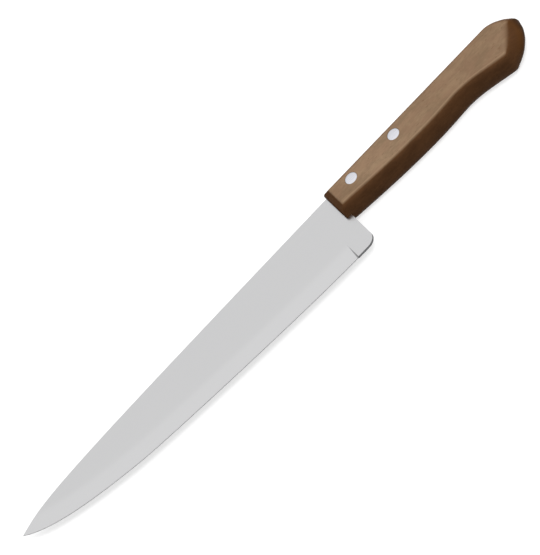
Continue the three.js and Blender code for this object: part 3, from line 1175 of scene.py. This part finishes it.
def dome_head(rivet, head_radius, head_top, settings):
    """The head's rounded rim, and the low dome inside it"""
    select_in_edit_mode(
        rivet, "edges", lambda edge: all(v.co.z > head_top - NEAR * MM for v in edge.verts),
    )
    bpy.ops.mesh.bevel(offset=settings.rim_radius, segments=RIM_STEPS, affect="EDGES")
    select_in_edit_mode(rivet, "faces", lambda face: face.normal.z > LEVEL)
    width = (head_radius - settings.rim_radius) / (DOME_RINGS + 1)
    for ring in range(DOME_RINGS):
        outer = 1.0 - ring / DOME_RINGS
        inner = 1.0 - (ring + 1) / DOME_RINGS
        rise = settings.dome_height * (outer ** 2 - inner ** 2)
        bpy.ops.mesh.inset(thickness=width, depth=rise)


def model_rivet_part(name, head_radius, settings, hollow):
    """A pin with its head up, or a hollow sleeve with its head down, round the Z axis"""
    head_top = (HANDLE_HIGH.z - HANDLE_LOW.z) / 2
    head = HEAD_THICKNESS * MM
    deselect_all()
    bpy.ops.mesh.primitive_cylinder_add(
        vertices=HEAD_SIDES, radius=head_radius, depth=head, location=(0.0, 0.0, head_top - head / 2),
    )
    bpy.ops.object.transform_apply(location=True, rotation=False, scale=False)
    rivet = new_piece(name)
    bpy.ops.object.mode_set(mode="EDIT")
    draw_out_shank(rivet, head_radius, head_top - head, hollow)
    dome_head(rivet, head_radius, head_top, settings)
    bpy.ops.mesh.select_all(action="SELECT")
    if hollow:
        bpy.ops.transform.rotate(value=math.pi, orient_axis="X", center_override=(0.0, 0.0, 0.0))
    close_up()
    bpy.ops.object.mode_set(mode="OBJECT")
    return rivet


def model_rivets(settings):
    """A pin and a sleeve are modelled once, and a copy of each goes to both places"""
    material = aluminium_finish(settings)
    patterns = {}
    for part, hollow in (("pin", False), ("sleeve", True)):
        low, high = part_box(f"front_rivet_{part}")
        patterns[part] = model_rivet_part(f"{part}_pattern", (high.x - low.x) / 2, settings, hollow)
    for place in RIVET_PLACES:
        centre = rivet_centre(place)
        for part, pattern in patterns.items():
            node = f"{place}_rivet_{part}"
            shift = (centre.x, centre.y, DRAWING_ORIGIN.z)
            rivet = copy_piece(pattern, f"turned_{node}", shift)
            finish_piece(rivet, "root", node, material, RIVET_SMOOTHING)
    for pattern in patterns.values():
        bpy.data.objects.remove(pattern)


# Stage


def mirrored_rays(finish, path):
    """One for rays that metal or glass mirrors"""
    return finish.math("MAXIMUM", path.outputs["Is Glossy Ray"], path.outputs["Is Transmission Ray"])


def seen_directly(finish):
    """One for rays from the camera and for those that metal or glass mirrors to it"""
    path = finish.add("ShaderNodeLightPath")
    not_scattered = finish.math("LESS_THAN", path.outputs["Diffuse Depth"], 1.0)
    mirrored = finish.math("MULTIPLY", mirrored_rays(finish, path), not_scattered)
    return finish.math("MAXIMUM", path.outputs["Is Camera Ray"], mirrored)


def floor_finish():
    """White where it is seen, with part of the shadow kept, and dull grey in the light it throws back"""
    material, finish, shader = new_material("white floor")
    material.node_tree.nodes.remove(shader)
    output = material.node_tree.nodes["Material Output"]
    paper = finish.add("ShaderNodeBsdfDiffuse")
    paper.inputs["Color"].default_value = (1.0, 1.0, 1.0, 1.0)
    glow = finish.add("ShaderNodeEmission")
    glow.inputs["Strength"].default_value = FLOOR_GLOW
    lifted = finish.add("ShaderNodeAddShader")
    finish.join(paper.outputs["BSDF"], lifted.inputs[0])
    finish.join(glow.outputs["Emission"], lifted.inputs[1])
    dull = finish.add("ShaderNodeBsdfDiffuse")
    dull.inputs["Color"].default_value = (FLOOR_GREY, FLOOR_GREY, FLOOR_GREY, 1.0)
    shown = finish.add("ShaderNodeMixShader")
    finish.join(seen_directly(finish), shown.inputs["Fac"])
    finish.join(dull.outputs["BSDF"], shown.inputs[1])
    finish.join(lifted.outputs["Shader"], shown.inputs[2])
    finish.join(shown.outputs["Shader"], output.inputs["Surface"])
    return material


def light_room(settings):
    """White where it is seen, brighter overhead where metal mirrors it, and an even fill for the rest"""
    world = bpy.data.worlds.new("white room")
    bpy.context.scene.world = world
    world.use_nodes = True
    finish = Finish(world.node_tree)
    background = world.node_tree.nodes["Background"]
    place = finish.add("ShaderNodeTexCoord")
    overhead = finish.add("ShaderNodeMapRange")
    finish.join(finish.split(place.outputs["Generated"])["Z"], overhead.inputs["Value"])
    overhead.inputs["To Min"].default_value = ROOM_AT_HORIZON
    overhead.inputs["To Max"].default_value = ROOM_OVERHEAD
    path = finish.add("ShaderNodeLightPath")
    colour = finish.mix(mirrored_rays(finish, path), settings.fill, overhead.outputs["Result"])
    colour = finish.mix(path.outputs["Is Camera Ray"], colour, (1.0, 1.0, 1.0))
    finish.join(colour, background.inputs["Color"])
    background.inputs["Strength"].default_value = 1.0


def add_sun(name, towards_light, strength, spread):
    deselect_all()
    turn = towards_light.to_track_quat("Z", "Y").to_euler()
    bpy.ops.object.light_add(type="SUN", location=towards_light, rotation=turn)
    light = bpy.context.object
    light.name = name
    light.data.energy = strength
    light.data.angle = spread
    light.visible_glossy = False
    return light


def add_lights(settings):
    """A wide soft key light from behind the knife, and a light over it that throws the shadow"""
    key = add_sun("key_light", KEY_DIRECTION, settings.key_strength, settings.key_spread)
    key.data.use_shadow = False
    add_sun("top_light", TOP_DIRECTION, settings.top_strength, settings.top_spread)


def add_floor():
    deselect_all()
    floor_z = CAD_BOX[0].z - FLOOR_GAP * MM
    bpy.ops.mesh.primitive_plane_add(size=FLOOR_SIZE, location=(0.0, 0.0, floor_z))
    floor = new_piece("floor")
    floor.data.materials.append(floor_finish())


def add_camera(settings):
    """A long lens on the edge side, rolled so that the knife crosses the picture"""
    aim = DRAWING_ORIGIN + CAMERA_AIM * MM
    height = settings.view_height
    roll = settings.view_roll
    back = Vector((0.0, -math.cos(height), math.sin(height)))
    level_right = Vector((1.0, 0.0, 0.0))
    level_up = back.cross(level_right)
    right = level_right * math.cos(roll) - level_up * math.sin(roll)
    up = level_right * math.sin(roll) + level_up * math.cos(roll)
    distance = settings.frame_height * settings.lens / SENSOR_WIDTH
    turn = Matrix((right, up, back)).transposed()
    deselect_all()
    bpy.ops.object.camera_add(location=aim + back * distance, rotation=turn.to_euler())
    camera = bpy.context.object
    camera.data.lens = settings.lens
    camera.data.sensor_width = SENSOR_WIDTH
    camera.data.clip_end = CAMERA_REACH
    bpy.context.scene.camera = camera


# Operators


class KNIFE_OT_model_blade(bpy.types.Operator):
    """Model the ground blade with its tang"""

    bl_idname = "kitchen_knife.model_blade"
    bl_label = "Model blade"

    def execute(self, context):
        model_blade(context.scene.kitchen_knife.blade)
        return {"FINISHED"}


class KNIFE_OT_model_handle(bpy.types.Operator):
    """Model the chamfered wooden handle"""

    bl_idname = "kitchen_knife.model_handle"
    bl_label = "Model handle"

    def execute(self, context):
        model_handle(context.scene.kitchen_knife.handle)
        return {"FINISHED"}


class KNIFE_OT_model_rivets(bpy.types.Operator):
    """Model the two rivets, each a headed pin in a headed sleeve"""

    bl_idname = "kitchen_knife.model_rivets"
    bl_label = "Model rivets"

    def execute(self, context):
        model_rivets(context.scene.kitchen_knife.rivet)
        return {"FINISHED"}


class KNIFE_OT_set_stage(bpy.types.Operator):
    """Set up the floor, the light and the camera"""

    bl_idname = "kitchen_knife.set_stage"
    bl_label = "Set stage"

    def execute(self, context):
        settings = context.scene.kitchen_knife.stage
        context.scene.view_settings.view_transform = "Standard"
        add_floor()
        light_room(settings)
        add_lights(settings)
        add_camera(settings)
        return {"FINISHED"}


class KNIFE_PT_sidebar(bpy.types.Panel):
    """Lists the knife's settings and the operators that build it"""

    bl_label = "Kitchen knife"
    bl_idname = "KNIFE_PT_sidebar"
    bl_space_type = "VIEW_3D"
    bl_region_type = "UI"
    bl_category = "Knife"

    def draw(self, context):
        settings = context.scene.kitchen_knife
        steps = (
            ("blade", KNIFE_OT_model_blade),
            ("handle", KNIFE_OT_model_handle),
            ("rivet", KNIFE_OT_model_rivets),
            ("stage", KNIFE_OT_set_stage),
        )
        for group_name, operator in steps:
            group = getattr(settings, group_name)
            column = self.layout.column(align=True)
            for name in type(group).__annotations__:
                column.prop(group, name)
            column.operator(operator.bl_idname)


CLASSES = (
    BladeSettings,
    HandleSettings,
    RivetSettings,
    StageSettings,
    KnifeSettings,
    KNIFE_OT_model_blade,
    KNIFE_OT_model_handle,
    KNIFE_OT_model_rivets,
    KNIFE_OT_set_stage,
    KNIFE_PT_sidebar,
)


def register():
    for cls in CLASSES:
        bpy.utils.register_class(cls)
    bpy.types.Scene.kitchen_knife = PointerProperty(type=KnifeSettings)


def unregister():
    del bpy.types.Scene.kitchen_knife
    for cls in reversed(CLASSES):
        bpy.utils.unregister_class(cls)


def main():
    register()
    bpy.ops.kitchen_knife.model_blade()
    bpy.ops.kitchen_knife.model_handle()
    bpy.ops.kitchen_knife.model_rivets()
    bpy.ops.kitchen_knife.set_stage()


if __name__ == "__main__":
    main()
